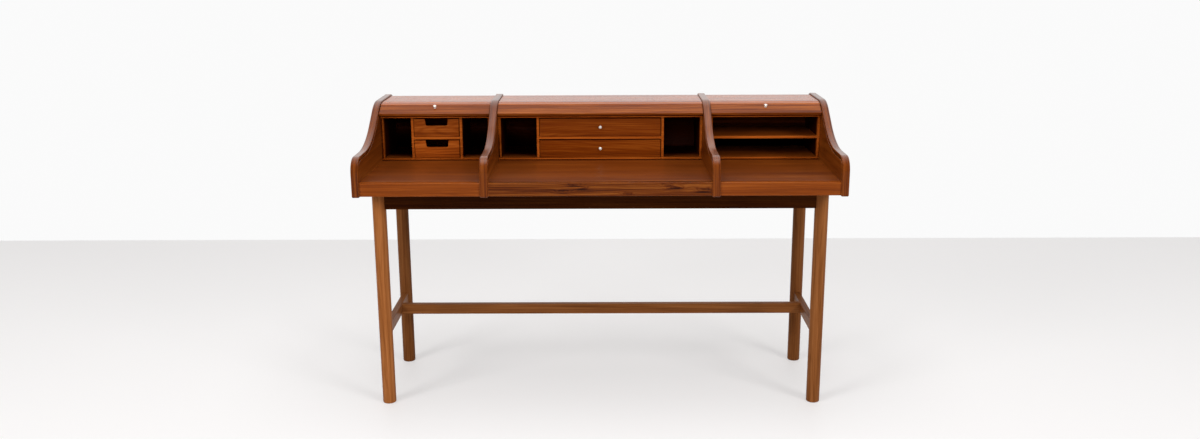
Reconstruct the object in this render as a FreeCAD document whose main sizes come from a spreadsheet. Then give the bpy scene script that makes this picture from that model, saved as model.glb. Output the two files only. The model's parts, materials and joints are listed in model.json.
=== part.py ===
import FreeCAD, Part

import math
import os
import re

# A tambour desk: three open bays between two S-shaped end panels and two dividers, each bay closed by its
# own curtain of slats, standing on a round-legged base with an H-stretcher.
# Lengths are millimetres. X runs along the desk, Y from front to back and Z up. The origin is on the floor
# under the middle of the desk.

doc = FreeCAD.newDocument("tambour_desk")
sizes = doc.addObject("Spreadsheet::Sheet", "Sizes")

DRIVING = {
    # the case
    "desk_width": 1470,
    "desk_depth": 610,
    "desk_height": 933,
    "panel_bottom": 698,
    "end_thickness": 22,
    "divider_thickness": 24,
    "divider_centre": 344,
    "divider_step": 26,
    "panel_corner": 6,
    "panel_edge_ease": 2,
    # the S-shaped edge
    "nose_radius": 45,
    "arm_height": 816,
    "arm_end": 115,
    "hollow_radius": 300,
    "slope_angle": 35,
    "shoulder_radius": 120,
    "rear_corner": 45,
    # the groove that the tambours run in
    "groove_inset": 9,
    "groove_width": 8,
    "groove_depth": 7,
    "track_lift": 3,
    "track_rear": 592,
    "track_rear_radius": 30,
    # the writing surface
    "surface_height": 742,
    "board_thickness": 22,
    "rail_setback": 6,
    "rail_thickness": 20,
    "rail_bottom": 701,
    "rail_round": 2,
    "back_thickness": 6,
    "back_setback": 4,
    "back_top": 890,
    # the pigeonhole cases
    "case_front": 363,
    "case_back": 578,
    "case_back_board": 5,
    "case_board": 8,
    "case_top": 890,
    "shelf_height": 811.5,
    "fit_gap": 0.5,
    "left_partition": 610.5,
    "left_partition_inner": 453,
    "centre_partition": 202.5,
    "partition_setback": 1,
    # the drawers
    "drawer_gap": 1.5,
    "drawer_top_gap": 2.5,
    "drawer_rest": 0.3,
    "drawer_front": 12,
    "drawer_side": 7,
    "drawer_side_drop": 5,
    "drawer_box_inset": 1,
    "drawer_back_drop": 6,
    "drawer_floor": 4,
    "drawer_floor_lift": 3,
    "drawer_length": 205,
    "scoop_width": 70,
    "scoop_depth": 25.5,
    "scoop_taper": 7,
    "scoop_corner": 6,
    # the curtains
    "slat_pitch": 18,
    "slat_joint": 0.6,
    "slat_thickness": 9,
    "slat_ease": 1.2,
    "slat_taper": 1.5,
    "slat_end_gap": 1,
    "tongue_thickness": 4.5,
    "tongue_width": 12,
    "tongue_length": 5.5,
    "canvas_thickness": 0.8,
    "canvas_width": 13.6,
    "canvas_margin": 14,
    "open_flat_start": 482,
    "lead_height": 48,
    "lead_thickness": 14,
    "lead_round": 2,
    "lead_vee": 1.2,
    "lead_vee_drop": 19,
    "lead_knob_height": 32,
    "bed_front": 408,
    "bed_rear": 562,
    "bed_thickness": 12,
    "bed_clearance": 1.2,
    "bed_rail": 18,
    # the base
    "leg_diameter": 42,
    "leg_spread": 680,
    "leg_front": 120,
    "leg_rear": 484,
    "leg_ease": 4,
    "apron_bottom": 638,
    "apron_thickness": 22,
    "stretcher_bottom": 220,
    "stretcher_height": 34,
    "stretcher_thickness": 20,
    "long_stretcher_front": 342,
    "tenon_thickness": 10,
    "tenon_start": 6,
    "apron_shoulder": 12,
    "stretcher_shoulder": 7,
    "long_tenon_length": 8,
    "cleat": 20,
    "cleat_length": 1180,
    # the hardware
    "knob_diameter": 15,
    "knob_height": 15,
    "knob_neck": 6,
    "knob_foot": 10,
    "knob_collar": 1.5,
    "knob_waist": 7.5,
    "knob_brim": 10.8,
    "knob_crown": 8,
    "screw_diameter": 4.5,
    "screw_head": 9,
    "screw_head_height": 3,
    "screw_length": 34,
}
for row, (alias, value) in enumerate(DRIVING.items(), start=1):
    sizes.set(f"A{row}", alias)
    sizes.set(f"B{row}", str(value))
    sizes.setAlias(f"B{row}", alias)
doc.recompute()

parts = {}


def size(alias):
    """A driving dimension as the sheet holds it."""
    return float(getattr(sizes, alias))


def formula(text):
    """An expression whose words are aliases of the sheet."""
    return re.sub(r"[a-z_]+", lambda word: "Sizes." + word.group(), text)


def bind(thing, **expressions):
    for prop, text in expressions.items():
        thing.setExpression(prop, formula(str(text)))


def place(thing, x="0", y="0", z="0"):
    """Y is given as a distance behind the front of the desk."""
    thing.setExpression("Placement.Base.x", formula(str(x)))
    thing.setExpression("Placement.Base.y", formula(f"{y} - desk_depth / 2"))
    thing.setExpression("Placement.Base.z", formula(str(z)))


def sub_part(name, thing):
    """Registers a finished piece, or a group of like pieces, under its own name."""
    thing.Label = name
    parts[name] = thing
    return thing


def board(name, width, depth, height, x, y, z):
    """A plain board; every argument but the name is an expression."""
    made = doc.addObject("Part::Box", name)
    bind(made, Length=width, Width=depth, Height=height)
    place(made, x, y, z)
    return made


def group(name, things):
    made = doc.addObject("Part::Compound", name)
    made.Links = things
    return made


def cut(name, base, tools):
    made = doc.addObject("Part::Cut", name)
    made.Base = base
    made.Tool = tools[0] if len(tools) == 1 else group(name + "_cutters", tools)
    return made


# ---------------------------------------------------------------- the track of a curtain
# The curtain's middle line, from the writing surface at the front, over the nose, along the arm, up the
# hollow and the slope, over the shoulder and the flat top, and down behind the case. Points are (y, z) with
# y counted from the front of the desk, and headings are counted up from the direction to the back.


class Track:
    def __init__(self, start, heading):
        self.pieces = []
        self.end = start
        self.heading = heading
        self.length = 0.0

    def run(self, length, turn=0.0):
        """Adds a straight run, or an arc when it turns, and keeps where it starts."""
        self.pieces.append((self.length, length, turn, self.end, self.heading))
        self.length += length
        self.end, self.heading = self.place_on(self.pieces[-1], length)

    def place_on(self, piece, along):
        _, length, turn, (y, z), heading = piece
        if not turn:
            return (y + along * math.cos(heading), z + along * math.sin(heading)), heading
        radius = length / turn
        now = heading + along / radius
        y += radius * (math.sin(now) - math.sin(heading))
        z -= radius * (math.cos(now) - math.cos(heading))
        return (y, z), now

    def at(self, distance):
        piece = self.pieces[0]
        for candidate in self.pieces:
            if candidate[0] <= distance:
                piece = candidate
        return self.place_on(piece, distance - piece[0])

    def beside(self, piece, along, offset):
        """The point at an offset from the middle line, to the outside of the desk where it is positive."""
        (y, z), heading = self.place_on(piece, along)
        return y - offset * math.sin(heading), z + offset * math.cos(heading)

    def edges(self, offset, first, last):
        """The offset line of some of the pieces as sketch geometry."""
        made = []
        for piece in self.pieces[first:last]:
            length, turn = piece[1:3]
            start, middle, end = (self.beside(piece, length * part, offset) for part in (0, 0.5, 1))
            made.append(arc(start, middle, end) if turn else line(start, end))
        return made

    def chord(self, start, length):
        """The distance along the track whose point is one chord from start; a negative length goes back."""
        near, far = start, start + 2 * length
        here = self.at(start)[0]
        for _ in range(60):
            middle = (near + far) / 2
            if math.dist(here, self.at(middle)[0]) < abs(length):
                near = middle
            else:
                far = middle
        return near


def vector(point):
    return FreeCAD.Vector(point[0], point[1], 0)


def line(start, end):
    return Part.LineSegment(vector(start), vector(end))


def arc(start, middle, end):
    return Part.Arc(vector(start), vector(middle), vector(end))


def corner(centre, radius, start_angle, end_angle):
    """A round corner about a centre, from one angle to another, in degrees."""
    angles = [math.radians(a) for a in (start_angle, (start_angle + end_angle) / 2, end_angle)]
    points = [(centre[0] + radius * math.cos(a), centre[1] + radius * math.sin(a)) for a in angles]
    return arc(*points)


slope = math.radians(size("slope_angle"))
inset = size("groove_inset")
nose = size("nose_radius")
top_line = size("desk_height") - inset
arm_line = size("arm_height") - inset
track_foot = size("surface_height") + size("track_lift")
hollow = size("hollow_radius") + inset
shoulder = size("shoulder_radius") - inset
rise = top_line - arm_line - (hollow + shoulder) * (1 - math.cos(slope))
slope_run = rise / math.sin(slope)
flat_start = size("arm_end") + (hollow + shoulder) * math.sin(slope) + slope_run * math.cos(slope)
rear_radius = size("track_rear_radius")

track = Track((inset, track_foot), math.pi / 2)
track.run(size("arm_height") - nose - track_foot)
track.run((nose - inset) * math.pi / 2, -math.pi / 2)
track.run(size("arm_end") - nose)
track.run(hollow * slope, slope)
track.run(slope_run)
track.run(shoulder * slope, -slope)
track.run(size("track_rear") - rear_radius - flat_start)
track.run(rear_radius * math.pi / 2, -math.pi / 2)
track.run(top_line - rear_radius - size("surface_height"))


# ---------------------------------------------------------------- end panels and dividers
# Solid walnut panels whose upper edge is the S of the desk's side. A blind groove follows that edge on every
# face that looks into a bay. The dividers step up behind the front rail to stand on the base.


def origin_plane(body, role):
    return next(f for f in body.Origin.OriginFeatures if f.Role == role)


def sketch_in(body, name, role, geometry):
    made = body.newObject("Sketcher::SketchObject", name)
    made.AttachmentSupport = [(origin_plane(body, role), "")]
    made.MapMode = "FlatFace"
    for item in geometry:
        made.addGeometry(item, False)
    return made


def panel_outline(step):
    """The outline of a panel's side. With a step, the lower edge rises behind the front rail."""
    low, deep, tall = size("panel_bottom"), size("desk_depth"), size("desk_height")
    small, large = size("panel_corner"), size("rear_corner")
    upper = track.edges(inset, 1, 6)
    nose_foot = upper[0].StartPoint
    flat_front = upper[-1].EndPoint
    outline = [line((0, low + small), (nose_foot.x, nose_foot.y))] + upper
    outline.append(line((flat_front.x, flat_front.y), (deep - large, tall)))
    outline.append(corner((deep - large, tall - large), large, 90, 0))
    under = size("surface_height") - size("board_thickness") if step else low
    outline.append(line((deep, tall - large), (deep, under + small)))
    outline.append(corner((deep - small, under + small), small, 0, -90))
    if step:
        back = size("divider_step")
        outline.append(line((deep - small, under), (back, under)))
        outline.append(line((back, under), (back, low)))
        outline.append(line((back, low), (small, low)))
    else:
        outline.append(line((deep - small, low), (small, low)))
    outline.append(corner((small, low + small), small, -90, -180))
    return outline


def groove_outline():
    """The band that the tongues of the slats run in, from the writing surface round to the back."""
    half = size("groove_width") / 2
    foot = size("surface_height")
    outer = track.edges(half, 0, 9)
    inner = track.edges(-half, 0, 9)
    start_out, start_in = outer[0].StartPoint, inner[0].StartPoint
    end_out, end_in = outer[-1].EndPoint, inner[-1].EndPoint
    return (
        outer
        + inner
        + [
            line((start_out.x, foot), (start_out.x, start_out.y)),
            line((start_in.x, foot), (start_in.x, start_in.y)),
            line((start_out.x, foot), (start_in.x, foot)),
            line((end_out.x, end_out.y), (end_in.x, end_in.y)),
        ]
    )


def groove(body, side, thickness):
    """A pocket from one face of a panel; side is low or high along X."""
    drawn = sketch_in(body, f"{body.Name}_{side}_groove", "YZ_Plane", groove_outline())
    if side == "high":
        drawn.setExpression("AttachmentOffset.Base.z", formula(f"{thickness} - groove_depth"))
    pocket = body.newObject("PartDesign::Pocket", f"{body.Name}_{side}_pocket")
    pocket.Profile = drawn
    pocket.Reversed = True
    bind(pocket, Length="groove_depth")


def ease_edges(body, thickness):
    """Eases the long edges of a panel all round its outline."""
    doc.recompute()
    solid = body.Tip
    wall = size(thickness)
    picked = []
    for number, edge in enumerate(solid.Shape.Edges, start=1):
        box = edge.BoundBox
        if box.XMax < 1e-4 or box.XMin > wall - 1e-4:
            picked.append(f"Edge{number}")
    feature = body.newObject("PartDesign::Chamfer", f"{body.Name}_edges")
    feature.Base = (solid, picked)
    bind(feature, Size="panel_edge_ease")


def panel(name, x, thickness, grooves, step):
    body = doc.addObject("PartDesign::Body", name)
    outline = sketch_in(body, name + "_outline", "YZ_Plane", panel_outline(step))
    pad = body.newObject("PartDesign::Pad", name + "_pad")
    pad.Profile = outline
    bind(pad, Length=thickness)
    ease_edges(body, thickness)
    for side in grooves:
        groove(body, side, thickness)
    place(body, x)
    return sub_part(name, body)


panel("end_panel_left", "-desk_width / 2", "end_thickness", ["high"], False)
HALF_DIVIDER = "divider_thickness / 2"
panel("divider_left", f"-divider_centre - {HALF_DIVIDER}", "divider_thickness", ["low", "high"], True)
panel("divider_right", f"divider_centre - {HALF_DIVIDER}", "divider_thickness", ["low", "high"], True)
panel("end_panel_right", "desk_width / 2 - end_thickness", "end_thickness", ["low"], False)


# ---------------------------------------------------------------- writing boards, front rails and back
# One veneered board in each bay makes the writing surface. A deep solid rail finishes each front edge, and
# one thin panel closes the back of each bay.

SIDE_CLEAR = "(desk_width / 2 - end_thickness - divider_centre - divider_thickness / 2)"
CENTRE_CLEAR = "(2 * divider_centre - divider_thickness)"
LEFT_START = "-(desk_width / 2 - end_thickness)"
CENTRE_START = "-(divider_centre - divider_thickness / 2)"
RIGHT_START = "(divider_centre + divider_thickness / 2)"
BAYS = {
    "left": (LEFT_START, SIDE_CLEAR),
    "centre": (CENTRE_START, CENTRE_CLEAR),
    "right": (RIGHT_START, SIDE_CLEAR),
}

BACK_INNER = "desk_depth - back_setback - back_thickness"
BOARD_BOTTOM = "surface_height - board_thickness"
BOARD_FRONT = "rail_setback + rail_thickness"


def bay_board(name, bay, depth, height, y, z):
    start, clear = BAYS[bay]
    return board(name, clear, depth, height, start, y, z)


BOARD_DEPTH = f"{BACK_INNER} - ({BOARD_FRONT})"
RAIL_HEIGHT = "surface_height - rail_bottom"
BACK_HEIGHT = "back_top - panel_bottom"


def eased_front(rail):
    """A rail with both long edges of its front face rounded."""
    doc.recompute()
    front = rail.Shape.BoundBox.YMin + 1e-4
    soft = size("rail_round")
    made = doc.addObject("Part::Fillet", rail.Name + "_eased")
    made.Base = rail
    made.Edges = [
        (number, soft, soft)
        for number, edge in enumerate(rail.Shape.Edges, start=1)
        if edge.BoundBox.YMax < front and edge.BoundBox.XLength > 1
    ]
    return made


rails = []
backs = []
blanks = {}
for bay in BAYS:
    blank = bay_board(f"{bay}_blank", bay, BOARD_DEPTH, "board_thickness", BOARD_FRONT, BOARD_BOTTOM)
    blanks[bay] = blank
    rail = bay_board(f"{bay}_rail", bay, "rail_thickness", RAIL_HEIGHT, "rail_setback", "rail_bottom")
    rails.append(eased_front(rail))
    back = bay_board(f"{bay}_back", bay, "back_thickness", BACK_HEIGHT, BACK_INNER, "panel_bottom")
    backs.append(back)
sub_part("front_rails", group("front_rails", rails))
sub_part("back_panel", group("back_panel", backs))


# ---------------------------------------------------------------- tambour beds
# Under the flat of each curtain lies a board that carries it, on two rails on top of the pigeonhole case.

BED_TOP = "desk_height - groove_inset - slat_thickness / 2 - canvas_thickness - bed_clearance"
BED_BOTTOM = f"({BED_TOP} - bed_thickness)"
BED_DEPTH = "bed_rear - bed_front"
BED_RAIL_HEIGHT = f"{BED_BOTTOM} - case_top"
beds = []
for bay in BAYS:
    beds.append(bay_board(f"{bay}_bed", bay, BED_DEPTH, "bed_thickness", "bed_front", BED_BOTTOM))
    for end, y in (("front", "bed_front"), ("rear", "bed_rear - bed_rail")):
        beds.append(bay_board(f"{bay}_bed_rail_{end}", bay, "bed_rail", BED_RAIL_HEIGHT, y, "case_top"))
sub_part("tambour_beds", group("tambour_beds", beds))


# ---------------------------------------------------------------- pigeonhole cases
# Three light cases of thin boards stand on the writing surface between the panels.

CASE_DEPTH = "case_back - case_front"
CASE_HEIGHT = "case_top - surface_height"
FLOOR_TOP = "(surface_height + case_board)"
INNER_HEIGHT = "case_top - surface_height - 2 * case_board"
UPRIGHT_FRONT = "(case_front + partition_setback)"
UPRIGHT_DEPTH = f"case_back - {UPRIGHT_FRONT}"


def case(bay, partitions, shelf_low, shelf_high):
    """A case: floor, top, ends and back, uprights about some middles, and a shelf between two places."""
    start, clear = BAYS[bay]
    low = f"({start} + fit_gap)"
    wide = f"({clear} - 2 * fit_gap)"
    far_end = f"{low} + {wide} - case_board"
    name = f"{bay}_case"
    boards = [
        board(name + "_floor", wide, CASE_DEPTH, "case_board", low, "case_front", "surface_height"),
        board(name + "_top", wide, CASE_DEPTH, "case_board", low, "case_front", "case_top - case_board"),
        board(name + "_end_low", "case_board", CASE_DEPTH, INNER_HEIGHT, low, "case_front", FLOOR_TOP),
        board(name + "_end_high", "case_board", CASE_DEPTH, INNER_HEIGHT, far_end, "case_front", FLOOR_TOP),
        board(name + "_back", wide, "case_back_board", CASE_HEIGHT, low, "case_back", "surface_height"),
    ]
    for number, middle in enumerate(partitions, start=1):
        at = f"({middle}) - case_board / 2"
        upright = f"{name}_upright_{number}"
        made = board(upright, "case_board", UPRIGHT_DEPTH, INNER_HEIGHT, at, UPRIGHT_FRONT, FLOOR_TOP)
        boards.append(made)
    span = f"({shelf_high}) - ({shelf_low})"
    shelf = f"{name}_shelf"
    boards.append(board(shelf, span, UPRIGHT_DEPTH, "case_board", shelf_low, UPRIGHT_FRONT, "shelf_height"))
    return sub_part(f"pigeonhole_case_{bay}", group(f"pigeonhole_case_{bay}", boards))


HALF = "case_board / 2"
LEFT_OPENING = (f"-left_partition + {HALF}", f"(-left_partition_inner - {HALF})")
CENTRE_OPENING = (f"-centre_partition + {HALF}", f"(centre_partition - {HALF})")
IN_FROM_WALL = "(fit_gap + case_board)"
RIGHT_OPENING = (f"{RIGHT_START} + {IN_FROM_WALL}", f"{RIGHT_START} + {SIDE_CLEAR} - {IN_FROM_WALL}")
case("left", ["-left_partition", "-left_partition_inner"], *LEFT_OPENING)
case("centre", ["-centre_partition", "centre_partition"], *CENTRE_OPENING)
case("right", [], *RIGHT_OPENING)


# ---------------------------------------------------------------- drawers
# Two small drawers with a scooped front in the left case and two wide ones with a knob in the centre case.


FRONT_FACE = "(case_front - partition_setback)"
BOX_FRONT = f"({FRONT_FACE} + drawer_front)"
BOX_DEPTH = "(drawer_length - drawer_front)"
BACK_FRONT = f"{BOX_FRONT} + {BOX_DEPTH} - drawer_side"


def drawer(name, low_x, high_x, low_z, high_z, scoop):
    """A drawer that rests in an opening with a gap at its sides and top; the four limits are expressions."""
    x = f"({low_x} + drawer_gap)"
    wide = f"({high_x} - ({low_x}) - 2 * drawer_gap)"
    z = f"({low_z} + drawer_rest)"
    tall = f"({high_z} - ({low_z}) - drawer_top_gap - drawer_rest)"
    side_x = f"({x} + drawer_box_inset)"
    far_side_x = f"({x} + {wide} - drawer_box_inset - drawer_side)"
    side_tall = f"({tall} - drawer_side_drop)"
    floor_z = f"({z} + drawer_floor_lift)"
    inner_x = f"({side_x} + drawer_side)"
    inner_wide = f"({wide} - 2 * drawer_box_inset - 2 * drawer_side)"
    back_tall = f"({side_tall} - drawer_floor_lift - drawer_floor - drawer_back_drop)"
    back_z = f"({floor_z} + drawer_floor)"
    front = board(name + "_front", wide, "drawer_front", tall, x, FRONT_FACE, z)
    if scoop:
        cutter = scoop_cutter(name, f"{x} + {wide} / 2", f"{z} + {tall}")
        front = cut(name + "_scooped_front", front, [cutter])
    box = [
        front,
        board(name + "_side_low", "drawer_side", BOX_DEPTH, side_tall, side_x, BOX_FRONT, z),
        board(name + "_side_high", "drawer_side", BOX_DEPTH, side_tall, far_side_x, BOX_FRONT, z),
        board(name + "_back", inner_wide, "drawer_side", back_tall, inner_x, BACK_FRONT, back_z),
        board(name + "_floor", inner_wide, BOX_DEPTH, "drawer_floor", inner_x, BOX_FRONT, floor_z),
    ]
    return sub_part(name, group(name, box))


def scoop_cutter(name, middle, top):
    """The finger scoop: narrower at its foot, with both lower corners round."""
    mouth, taper, deep = size("scoop_width") / 2, size("scoop_taper"), size("scoop_depth")
    foot, soft = mouth - taper, size("scoop_corner")
    lean = math.atan2(taper, deep)
    # a round corner is tangent to the foot and to the leaning side
    centre_x = foot - soft * math.tan(math.pi / 4 - lean / 2)
    side_end = (centre_x + soft * math.cos(lean), -deep + soft - soft * math.sin(lean))
    lean_degrees = math.degrees(lean)
    drawn = doc.addObject("Sketcher::SketchObject", name + "_scoop_outline")
    drawn.Placement.Rotation = FreeCAD.Rotation(FreeCAD.Vector(1, 0, 0), 90)
    for item in (
        line((-mouth, 0), (-side_end[0], side_end[1])),
        corner((-centre_x, -deep + soft), soft, 180 + lean_degrees, 270),
        line((-centre_x, -deep), (centre_x, -deep)),
        corner((centre_x, -deep + soft), soft, 270, 360 - lean_degrees),
        line(side_end, (mouth, 0)),
        line((mouth, 0), (mouth, soft)),
        line((mouth, soft), (-mouth, soft)),
        line((-mouth, soft), (-mouth, 0)),
    ):
        drawn.addGeometry(item, False)
    place(drawn, middle, FRONT_FACE, top)
    cutter = doc.addObject("Part::Extrusion", name + "_scoop")
    cutter.Base = drawn
    cutter.DirMode = "Custom"
    cutter.Dir = FreeCAD.Vector(0, 1, 0)
    cutter.Solid = True
    bind(cutter, LengthFwd="drawer_front + scoop_corner", LengthRev="scoop_corner")
    return cutter


LOWER = ("surface_height + case_board", "shelf_height")
UPPER = ("shelf_height + case_board", "case_top - case_board")
drawer("drawer_left_upper", *LEFT_OPENING, *UPPER, scoop=True)
drawer("drawer_left_lower", *LEFT_OPENING, *LOWER, scoop=True)
drawer("drawer_centre_upper", *CENTRE_OPENING, *UPPER, scoop=False)
drawer("drawer_centre_lower", *CENTRE_OPENING, *LOWER, scoop=False)


# ---------------------------------------------------------------- knobs
# Small turned metal knobs: a foot disc, a narrow neck, and a head that flares to a sharp brim and is
# bevelled towards its face.


def knob(name, position, direction):
    body = doc.addObject("PartDesign::Body", name)
    head, tall = size("knob_diameter") / 2, size("knob_height")
    neck, foot = size("knob_neck") / 2, size("knob_foot") / 2
    outline = [
        (0, 0),
        (foot, 0),
        (foot, size("knob_collar")),
        (neck, size("knob_collar")),
        (neck, size("knob_waist")),
        (head, size("knob_brim")),
        (size("knob_crown") / 2, tall),
        (0, tall),
    ]
    profile = [line(near, far) for near, far in zip(outline, outline[1:] + outline[:1])]
    drawn = sketch_in(body, name + "_profile", "XZ_Plane", profile)
    turned = body.newObject("PartDesign::Revolution", name + "_turned")
    turned.Profile = drawn
    turned.ReferenceAxis = (drawn, ["V_Axis"])
    turned.Angle = 360
    turn = FreeCAD.Rotation(FreeCAD.Vector(0, 0, 1), FreeCAD.Vector(*direction))
    body.Placement = FreeCAD.Placement(FreeCAD.Vector(*position), turn)
    return sub_part(name, body)


front_face = size("case_front") - size("partition_setback") - size("desk_depth") / 2
case_floor = size("surface_height") + size("case_board")
lower_middle = (case_floor + size("shelf_height")) / 2
upper_middle = (size("shelf_height") + size("case_top")) / 2
knob("drawer_knob_upper", (0, front_face, upper_middle), (0, -1, 0))
knob("drawer_knob_lower", (0, front_face, lower_middle), (0, -1, 0))


# ---------------------------------------------------------------- tambour curtains
# Each curtain is a lead bar and twenty-one slats, glued side by side on canvas. Every slat has a tongue at
# each end that runs in the grooves. They are shown drawn back, as the desk stands open.

SLAT_RUNS = [("slat_1", 1), ("slat_2", 1), ("slats_front", 4), ("slats_top", 4)]
SLAT_RUNS += [("slat_11", 1), ("slat_12", 1), ("slat_13", 1), ("slats_rear", 8)]
SLAT_COUNT = sum(count for _, count in SLAT_RUNS)


def section(name, outline):
    """A section drawn across the desk; x runs along the track and y out of the desk."""
    drawn = doc.addObject("Sketcher::SketchObject", name)
    for item in outline:
        drawn.addGeometry(item, False)
    drawn.Placement.Rotation = FreeCAD.Rotation(FreeCAD.Vector(1, 1, 1), 120)
    return drawn


def slat_profile(name):
    """A slat with both outer edges eased, and narrower at its back so that the curtain can turn a corner."""
    half = (size("slat_pitch") - size("slat_joint")) / 2
    narrow = half - size("slat_taper")
    thick, ease = size("slat_thickness") / 2, size("slat_ease")
    one_side = [(narrow, -thick), (half, 0), (half, thick - ease), (half - ease, thick)]
    other_side = [(-x, y) for x, y in reversed(one_side)]
    points = one_side + other_side
    return section(name, [line(near, far) for near, far in zip(points, points[1:] + points[:1])])


def along_x(name, drawn, width):
    """A section pulled both ways along X to a width."""
    made = doc.addObject("Part::Extrusion", name)
    made.Base = drawn
    made.DirMode = "Custom"
    made.Dir = FreeCAD.Vector(1, 0, 0)
    made.Solid = True
    made.Symmetric = True
    bind(made, LengthFwd=width)
    return made


def centred_box(name, width, depth, height, lift):
    made = doc.addObject("Part::Box", name)
    bind(made, Length=width, Width=depth, Height=height)
    made.setExpression("Placement.Base.x", formula(f"-({width}) / 2"))
    made.setExpression("Placement.Base.y", formula(f"-({depth}) / 2"))
    made.setExpression("Placement.Base.z", formula(lift))
    return made


def slat_pattern(bay):
    """The slat and the stretch of canvas behind it that one bay repeats, both about the track's line."""
    clear = BAYS[bay][1]
    long = f"({clear} - 2 * slat_end_gap)"
    reach = f"({long} + 2 * tongue_length)"
    canvas_long = f"({clear} - 2 * canvas_margin)"
    canvas_back = "-slat_thickness / 2 - canvas_thickness"
    stick = along_x(f"{bay}_slat_stick", slat_profile(f"{bay}_slat_section"), long)
    tongue_foot = "-tongue_thickness / 2"
    tongue = centred_box(f"{bay}_slat_tongue", reach, "tongue_width", "tongue_thickness", tongue_foot)
    slat = doc.addObject("Part::Fuse", f"{bay}_slat")
    slat.Base, slat.Tool = stick, tongue
    cloth = centred_box(f"{bay}_canvas", canvas_long, "canvas_width", "canvas_thickness", canvas_back)
    return slat, cloth


def pose(bay_middle, start, end):
    """The placement that lays a piece along the chord between two points of the track."""
    middle = ((start[0] + end[0]) / 2, (start[1] + end[1]) / 2)
    tilt = math.degrees(math.atan2(end[1] - start[1], end[0] - start[0]))
    base = FreeCAD.Vector(bay_middle, middle[0] - size("desk_depth") / 2, middle[1])
    return FreeCAD.Placement(base, FreeCAD.Rotation(FreeCAD.Vector(1, 0, 0), tilt))


def copy_at(name, source, placement):
    made = doc.addObject("Part::Compound", name)
    made.Links = [source]
    made.Placement = placement
    return made


def open_points():
    """Where each stick of an open curtain starts and ends on the track, from the lead bar's foot back."""
    pitch = size("slat_pitch")
    forward = [size("open_flat_start")]
    for length in (pitch, pitch, size("lead_height")):
        forward.append(track.chord(forward[-1], -length))
    backward = [forward[0]]
    for _ in range(SLAT_COUNT - 2):
        backward.append(track.chord(backward[-1], pitch))
    return [track.at(along)[0] for along in forward[::-1] + backward[1:]]


def lead_profile(name, grooved):
    """The lead bar: thicker than a slat, with eased edges, and a fine vee along the grooved one."""
    low, high = -size("lead_height") / 2, (size("lead_height") - size("slat_joint")) / 2
    out = size("slat_thickness") / 2
    back = out - size("lead_thickness")
    soft, vee = size("lead_round"), size("lead_vee")
    outline = [corner((high - soft, out - soft), soft, 0, 90)]
    last = (high - soft, out)
    if grooved:
        middle = size("lead_height") / 2 - size("lead_vee_drop")
        outline.append(line(last, (middle + vee, out)))
        outline.append(line((middle + vee, out), (middle, out - vee)))
        outline.append(line((middle, out - vee), (middle - vee, out)))
        last = (middle - vee, out)
    outline += [
        line(last, (low + soft, out)),
        corner((low + soft, out - soft), soft, 90, 180),
        line((low, out - soft), (low, back + soft)),
        line((low, back + soft), (low + soft, back)),
        line((low + soft, back), (high, back)),
        line((high, back), (high, out - soft)),
    ]
    return section(name, outline)


outer_wall = size("desk_width") / 2 - size("end_thickness")
inner_wall = size("divider_centre") + size("divider_thickness") / 2
side_middle = (outer_wall + inner_wall) / 2
BAY_MIDDLES = {"left": -side_middle, "centre": 0.0, "right": side_middle}
points = open_points()
for bay, bay_middle in BAY_MIDDLES.items():
    lead_section = lead_profile(f"{bay}_lead_section", bay == "centre")
    bar = along_x(f"{bay}_lead_stick", lead_section, f"{BAYS[bay][1]} - 2 * slat_end_gap")
    lead_pose = pose(bay_middle, points[0], points[1])
    sub_part(f"lead_bar_{bay}", copy_at(f"lead_bar_{bay}", bar, lead_pose))
    if bay != "centre":
        rise_on_bar = size("lead_knob_height") - size("lead_height") / 2
        foot = lead_pose.multVec(FreeCAD.Vector(0, rise_on_bar, size("slat_thickness") / 2))
        out = lead_pose.Rotation.multVec(FreeCAD.Vector(0, 0, 1))
        knob(f"lead_knob_{bay}", tuple(foot), tuple(out))
    slat, cloth = slat_pattern(bay)
    number = 1
    for run_name, count in SLAT_RUNS:
        pieces = []
        for _ in range(count):
            where = pose(bay_middle, points[number], points[number + 1])
            pieces.append(copy_at(f"{bay}_slat_{number}_wood", slat, where))
            pieces.append(copy_at(f"{bay}_slat_{number}_canvas", cloth, where))
            number += 1
        node = f"tambour_{bay}_{run_name}"
        sub_part(node, group(node, pieces))


# ---------------------------------------------------------------- the base
# Four round legs, a deep apron all round and an H-stretcher. The shoulders of the rails are hollowed to the
# legs, and a tenon on each end goes into a mortise in the leg, or in the side stretcher.

# a tenon starts this far from the leg's middle, so that two of them meet in a leg without touching
TENON_GAP = "tenon_start"
TENON_LENGTH = "leg_diameter / 2"
TENON_END = f"({TENON_GAP} + {TENON_LENGTH})"

LEGS = {}
MORTISES = {}
for depth_name, leg_y in (("front", "leg_front"), ("rear", "leg_rear")):
    for side, leg_x in (("left", "-leg_spread"), ("right", "leg_spread")):
        leg = f"leg_{depth_name}_{side}"
        stock = doc.addObject("Part::Cylinder", leg + "_stock")
        bind(stock, Radius="leg_diameter / 2", Height=BOARD_BOTTOM)
        place(stock, leg_x, leg_y, "0")
        LEGS[leg] = stock
        MORTISES[leg] = []


def tenoned(name, rail, shoulders, tenons):
    """A rail with its ends hollowed to the legs and its tenons on; tenons is a list of (tenon, leg)."""
    hollowed = cut(name + "_hollowed", rail, shoulders)
    made = doc.addObject("Part::MultiFuse", name)
    made.Shapes = [hollowed] + [tenon for tenon, _ in tenons]
    for tenon, leg in tenons:
        MORTISES[leg].append(tenon)
    return made


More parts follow.
